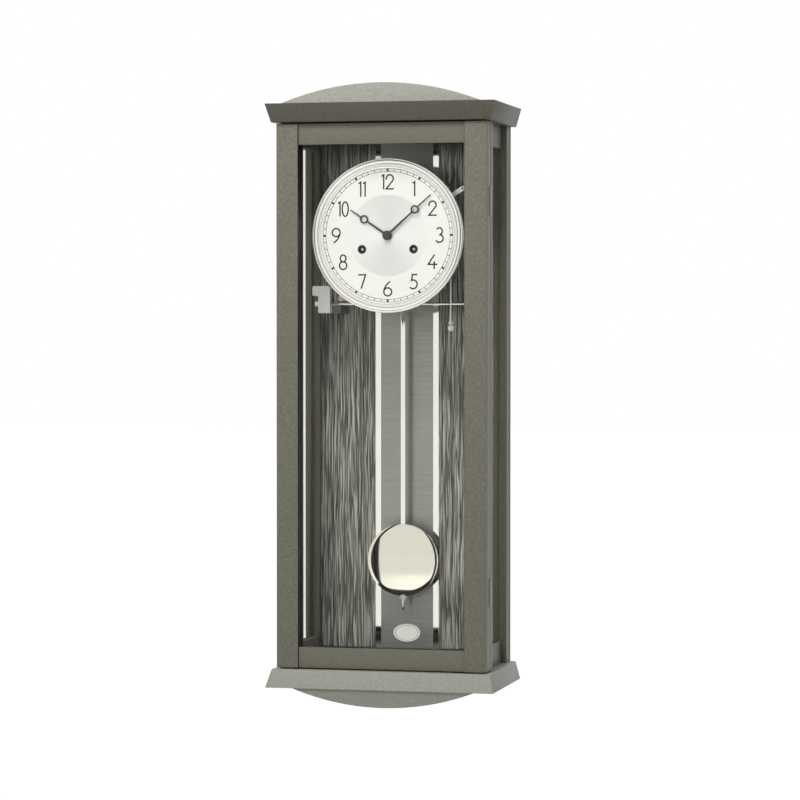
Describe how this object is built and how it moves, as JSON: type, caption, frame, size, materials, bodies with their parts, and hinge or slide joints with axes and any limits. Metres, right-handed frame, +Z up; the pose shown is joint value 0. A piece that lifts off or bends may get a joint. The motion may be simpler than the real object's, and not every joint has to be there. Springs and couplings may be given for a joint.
{
  "type": "regulator wall clock",
  "caption": "Glazed wall clock case with a hinged glass door, round dial, hands, wheel trains, pendulum and a hammer that strikes a gong rod; hangs on one hook.",
  "frame": {"origin": "centre of the wall hanger hole, on the plane of the wall", "axes": "+Z up, +Y towards the wall, +X to the right seen from the front"},
  "size_m": [0.2586, 0.151, 0.6865],
  "materials": {
    "lacquer": "satin warm grey metallic lacquer on board",
    "pane": "clear polished glass",
    "slate": "riven slate veneer with upright grooves",
    "brushed_panel": "finely brushed, matt grey",
    "mirror": "polished",
    "enamel": "white enamel with a dark line",
    "zinc": "zinc plated",
    "steel": "fine ground",
    "nickel": "polished nickel",
    "magnet": "dark",
    "brass": "satin",
    "dial": "silver white with a darker satin centre",
    "bezel": "satin silver rings",
    "eyelet": "dark",
    "hand": "dark grey satin"
  },
  "bodies": {
    "case": {"cornice_board": "lacquer", "top_arch": "lacquer", "base_board": "lacquer", "bottom_arch": "lacquer", "case_top_board": "lacquer", "case_bottom_board": "lacquer", "front_posts": "lacquer", "side_rails": "lacquer", "back_board": "lacquer", "side_glass_panes": "pane", "slate_panels": "slate", "centre_panel": "brushed_panel", "mirror_strips": "mirror", "oval_plaque": "enamel", "wall_hanger": "zinc", "gong_block": "zinc", "movement_brackets": "zinc", "fixing_screws": "steel", "gong_rod": "steel", "ratchet_clicks": "steel", "movement_pillars": "steel", "hinge_case_leaves": "nickel", "catch_magnet": "magnet", "movement_front_plate": "brass", "movement_back_plate": "brass", "suspension_cock": "brass", "dial_plate": "dial", "dial_bezel": "bezel", "winding_eyelets": "eyelet"},
    "door": {"door_left_stile": "lacquer", "door_right_stile": "lacquer", "door_rails": "lacquer", "door_glass": "pane", "glass_beads": "lacquer", "hinge_door_leaves": "nickel", "catch_plate": "steel"},
    "minute_hand_set": {"minute_hand": "hand", "cannon_pinion": "brass"},
    "minute_wheel_set": {"minute_wheel": "brass"},
    "hour_hand_set": {"hour_hand": "hand", "hour_wheel": "brass"},
    "going_barrel_set": {"going_barrel": "brass"},
    "going_winder": {"going_winding_arbor": "steel"},
    "intermediate_set": {"intermediate_wheel": "brass"},
    "centre_set": {"centre_wheel": "brass"},
    "third_set": {"third_wheel": "brass"},
    "escape_set": {"escape_wheel": "brass"},
    "anchor_set": {"pallet_anchor": "steel"},
    "pendulum": {"suspension_spring": "steel", "pendulum_rod": "nickel", "pendulum_bob": "nickel"},
    "rating_nut_set": {"rating_nut": "nickel"},
    "strike_barrel_set": {"strike_barrel": "brass"},
    "strike_winder": {"strike_winding_arbor": "steel"},
    "pin_wheel_set": {"pin_wheel": "brass"},
    "gathering_set": {"gathering_wheel": "brass"},
    "fly_set": {"strike_fly": "brass"},
    "hammer_set": {"hammer": "brass"},
    "silent_lever_set": {"silent_lever": "steel"},
    "pull_wire_set": {"pull_wire": "steel"}
  },
  "joints": [
    {"name": "door_hinge", "type": "hinge", "parent": "case", "child": "door", "pos_m": [0.1187, -0.1192, -0.262], "axis": [0, 0, 1], "range_deg": [0, 110]},
    {"name": "pendulum_swing", "type": "hinge", "parent": "case", "child": "pendulum", "pos_m": [0, -0.0495, -0.0325], "axis": [0, 1, 0], "range_deg": [-4, 4]},
    {"name": "anchor_rock", "type": "hinge", "parent": "case", "child": "anchor_set", "pos_m": [0, -0.0495, -0.0325], "axis": [0, 1, 0], "range_deg": [-4, 4]},
    {"name": "rating_nut_turn", "type": "hinge", "parent": "pendulum", "child": "rating_nut_set", "pos_m": [0, -0.0325, -0.4897], "axis": [0, 0, 1], "continuous": true},
    {"name": "minute_hand_turn", "type": "hinge", "parent": "case", "child": "minute_hand_set", "pos_m": [0, -0.0495, -0.0845], "axis": [0, 1, 0], "continuous": true},
    {"name": "minute_wheel_turn", "type": "hinge", "parent": "case", "child": "minute_wheel_set", "pos_m": [0, -0.0495, -0.0725], "axis": [0, 1, 0], "continuous": true},
    {"name": "hour_hand_turn", "type": "hinge", "parent": "case", "child": "hour_hand_set", "pos_m": [0, -0.0495, -0.0845], "axis": [0, 1, 0], "continuous": true},
    {"name": "third_wheel_turn", "type": "hinge", "parent": "case", "child": "third_set", "pos_m": [-0.00899, -0.0495, -0.06663], "axis": [0, 1, 0], "continuous": true},
    {"name": "centre_wheel_turn", "type": "hinge", "parent": "case", "child": "centre_set", "pos_m": [0, -0.0495, -0.0845], "axis": [0, 1, 0], "continuous": true},
    {"name": "escape_wheel_turn", "type": "hinge", "parent": "case", "child": "escape_set", "pos_m": [0, -0.0495, -0.0515], "axis": [0, 1, 0], "continuous": true},
    {"name": "intermediate_wheel_turn", "type": "hinge", "parent": "case", "child": "intermediate_set", "pos_m": [0.01838, -0.0495, -0.07315], "axis": [0, 1, 0], "continuous": true},
    {"name": "going_barrel_turn", "type": "hinge", "parent": "case", "child": "going_barrel_set", "pos_m": [0.0293, -0.0495, -0.0998], "axis": [0, 1, 0], "continuous": true},
    {"name": "pin_wheel_turn", "type": "hinge", "parent": "case", "child": "pin_wheel_set", "pos_m": [-0.0313, -0.0495, -0.07107], "axis": [0, 1, 0], "continuous": true},
    {"name": "strike_barrel_turn", "type": "hinge", "parent": "case", "child": "strike_barrel_set", "pos_m": [-0.0293, -0.0495, -0.0998], "axis": [0, 1, 0], "continuous": true},
    {"name": "gathering_wheel_turn", "type": "hinge", "parent": "case", "child": "gathering_set", "pos_m": [-0.0255, -0.0495, -0.05509], "axis": [0, 1, 0], "continuous": true},
    {"name": "fly_turn", "type": "hinge", "parent": "case", "child": "fly_set", "pos_m": [-0.0277, -0.0495, -0.04248], "axis": [0, 1, 0], "continuous": true},
    {"name": "going_winding_turn", "type": "hinge", "parent": "case", "child": "going_winder", "pos_m": [0.0293, -0.0495, -0.0998], "axis": [0, 1, 0], "continuous": true},
    {"name": "strike_winding_turn", "type": "hinge", "parent": "case", "child": "strike_winder", "pos_m": [-0.0293, -0.0495, -0.0998], "axis": [0, 1, 0], "continuous": true},
    {"name": "hammer_lift", "type": "hinge", "parent": "case", "child": "hammer_set", "pos_m": [-0.05, -0.0495, -0.1275], "axis": [0, 1, 0], "range_deg": [0, 14]},
    {"name": "silent_lever_turn", "type": "hinge", "parent": "case", "child": "silent_lever_set", "pos_m": [0.03875, -0.0495, -0.05972], "axis": [0, 1, 0], "range_deg": [-7, 7]},
    {"name": "pull_wire_slide", "type": "slide", "parent": "case", "child": "pull_wire_set", "axis": [0, 0, -1], "range_m": [0, 0.012], "stiffness_N_per_m": 40, "springref_m": -0.01}
  ],
  "couplings": [
    {"joint": "anchor_rock", "follows": "pendulum_swing", "ratio": 1},
    {"joint": "minute_wheel_turn", "follows": "minute_hand_turn", "ratio": -0.33333},
    {"joint": "hour_hand_turn", "follows": "minute_hand_turn", "ratio": 0.083333},
    {"joint": "centre_wheel_turn", "follows": "third_wheel_turn", "ratio": -0.11111},
    {"joint": "escape_wheel_turn", "follows": "third_wheel_turn", "ratio": -10},
    {"joint": "intermediate_wheel_turn", "follows": "third_wheel_turn", "ratio": 0.022222},
    {"joint": "going_barrel_turn", "follows": "third_wheel_turn", "ratio": -0.0031746},
    {"joint": "strike_barrel_turn", "follows": "pin_wheel_turn", "ratio": -0.14286},
    {"joint": "gathering_wheel_turn", "follows": "pin_wheel_turn", "ratio": -7.5},
    {"joint": "fly_turn", "follows": "pin_wheel_turn", "ratio": 52.5}
  ]
}
